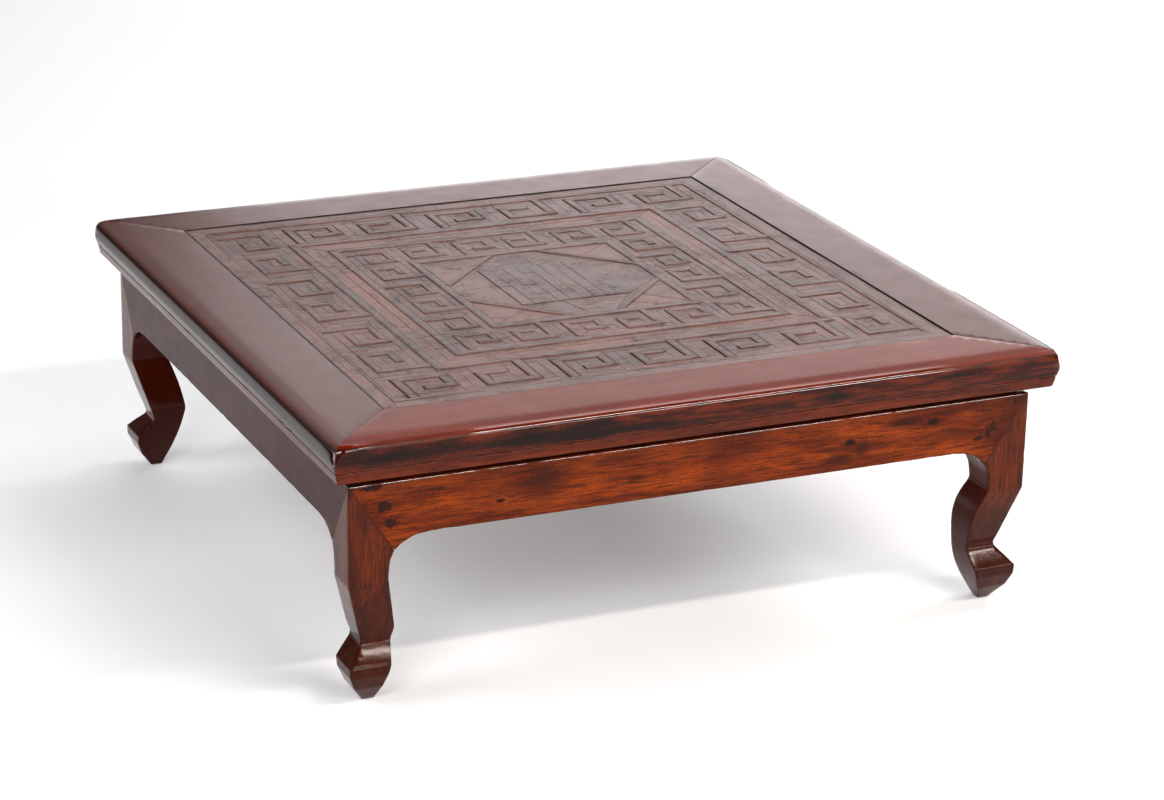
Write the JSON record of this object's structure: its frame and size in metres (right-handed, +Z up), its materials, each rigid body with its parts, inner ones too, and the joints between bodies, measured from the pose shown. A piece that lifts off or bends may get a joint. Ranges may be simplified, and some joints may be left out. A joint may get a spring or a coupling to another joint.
{
  "type": "kang table",
  "caption": "Low square kang table with a mitred frame, a fret parquetry top, a recessed waist, shaped aprons and inward-curving legs.",
  "frame": {"origin": "on the floor under the middle of the table", "axes": "+Z up, +X to the right and -Y to the front, both square to the table's sides"},
  "size_m": [0.85, 0.85, 0.305],
  "materials": {
    "frame_wood": "glossy red-brown lacquer over hardwood, worn darker along the edges",
    "apron_wood": "glossy clear red-orange lacquer over figured hardwood",
    "leg_wood": "glossy red-brown lacquer over hardwood",
    "waist_wood": "dark lacquer, in the shadow of the frame",
    "panel_wood": "dull dark softwood boards with a thin wash of lacquer",
    "pin_wood": "plain hardwood pins",
    "parquetry_strips": "satin grey-brown and pink-brown strips, worn lighter on their edges",
    "parquetry_ground": "satin brown pieces with dark joints"
  },
  "bodies": {
    "root": {"apron_back": "apron_wood", "apron_front": "apron_wood", "apron_joint_pins": "pin_wood", "apron_left": "apron_wood", "apron_right": "apron_wood", "frame_joint_pins": "pin_wood", "inlay_border_back": "parquetry_strips", "inlay_border_front": "parquetry_strips", "inlay_border_left": "parquetry_strips", "inlay_border_right": "parquetry_strips", "inner_fret_ground_back": "parquetry_ground", "inner_fret_ground_front": "parquetry_ground", "inner_fret_ground_left": "parquetry_ground", "inner_fret_ground_right": "parquetry_ground", "inner_fret_keys_back": "parquetry_strips", "inner_fret_keys_front": "parquetry_strips", "inner_fret_keys_left": "parquetry_strips", "inner_fret_keys_right": "parquetry_strips", "inner_fret_line": "parquetry_strips", "leg_back_left": "leg_wood", "leg_back_right": "leg_wood", "leg_front_left": "leg_wood", "leg_front_right": "leg_wood", "medallion_corners": "parquetry_ground", "medallion_diagonals": "parquetry_strips", "medallion_ground": "parquetry_ground", "medallion_slats": "parquetry_strips", "middle_fret_line": "parquetry_strips", "outer_fret_ground_back": "parquetry_ground", "outer_fret_ground_front": "parquetry_ground", "outer_fret_ground_left": "parquetry_ground", "outer_fret_ground_right": "parquetry_ground", "outer_fret_keys_back": "parquetry_strips", "outer_fret_keys_front": "parquetry_strips", "outer_fret_keys_left": "parquetry_strips", "outer_fret_keys_right": "parquetry_strips", "outer_fret_line": "parquetry_strips", "panel_board_1": "panel_wood", "panel_board_2": "panel_wood", "panel_board_3": "panel_wood", "panel_board_4": "panel_wood", "panel_board_5": "panel_wood", "panel_brace_left": "panel_wood", "panel_brace_right": "panel_wood", "plain_band": "parquetry_ground", "top_frame_back": "frame_wood", "top_frame_front": "frame_wood", "top_frame_left": "frame_wood", "top_frame_right": "frame_wood", "waist_back": "waist_wood", "waist_front": "waist_wood", "waist_left": "waist_wood", "waist_right": "waist_wood"}
  },
  "joints": []
}
